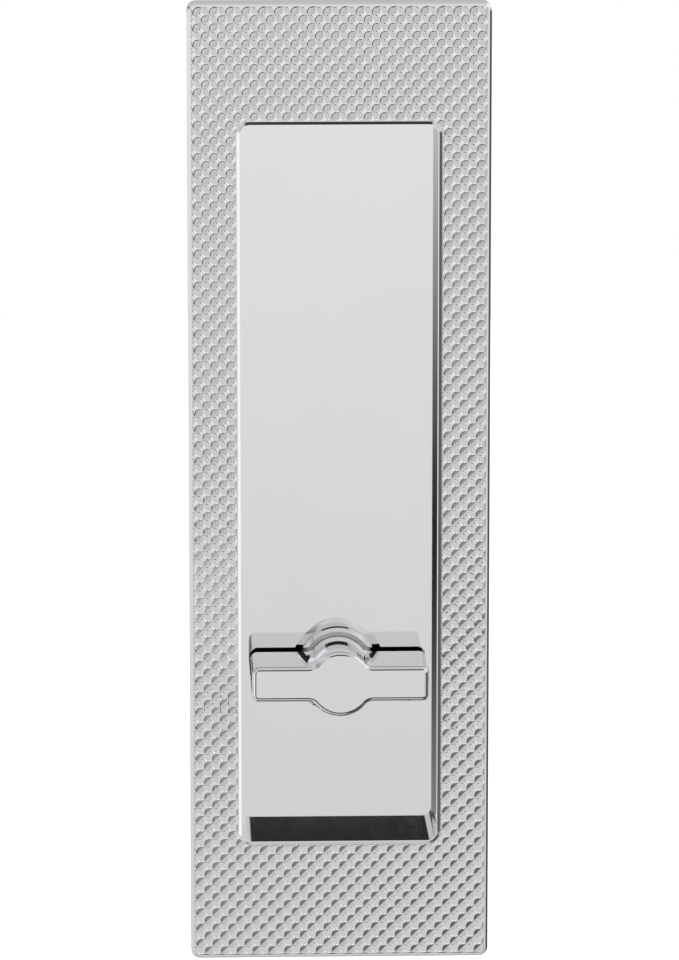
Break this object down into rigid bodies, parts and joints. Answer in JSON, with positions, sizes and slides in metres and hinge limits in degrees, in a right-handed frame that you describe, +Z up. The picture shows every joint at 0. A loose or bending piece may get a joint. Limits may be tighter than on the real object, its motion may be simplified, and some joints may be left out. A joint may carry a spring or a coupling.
{
  "type": "flush door pull with thumb turn",
  "caption": "Rectangular flush pull for a sliding door, with a deep finger pocket, a border of small pressed petals and a quarter-turn thumb turn in the pocket floor.",
  "frame": {"origin": "midway between the two fixing screws, on the face of the door", "axes": "+X to the right seen from the front, +Y into the door, +Z up along the plate"},
  "size_m": [0.048, 0.0546, 0.155],
  "materials": {
    "polished_chrome": "bright chrome plate, polished",
    "patterned_chrome": "bright chrome plate over cut petals",
    "black_polymer": "moulded, fine matte",
    "bearing_polymer": "turned, smooth matte",
    "zinc_steel": "zinc plated",
    "spring_steel": "plain spring steel"
  },
  "bodies": {
    "pull": {"pull_body": "polished_chrome", "patterned_inlay": "patterned_chrome", "turn_collar": "polished_chrome", "turn_bush": "bearing_polymer", "spring_washer": "spring_steel", "stop_pin": "zinc_steel", "base_frame": "black_polymer", "fixing_screw_top": "zinc_steel", "fixing_screw_bottom": "zinc_steel", "clip_upper_left": "spring_steel", "clip_upper_right": "spring_steel", "clip_lower_left": "spring_steel", "clip_lower_right": "spring_steel"},
    "turn": {"thumb_turn": "polished_chrome", "spindle": "zinc_steel", "stop_washer": "zinc_steel", "retaining_ring": "spring_steel"}
  },
  "joints": [
    {"name": "turn_spin", "type": "hinge", "parent": "pull", "child": "turn", "pos_m": [0, 0.006, -0.031], "axis": [0, 1, 0], "range_deg": [0, 90]}
  ]
}
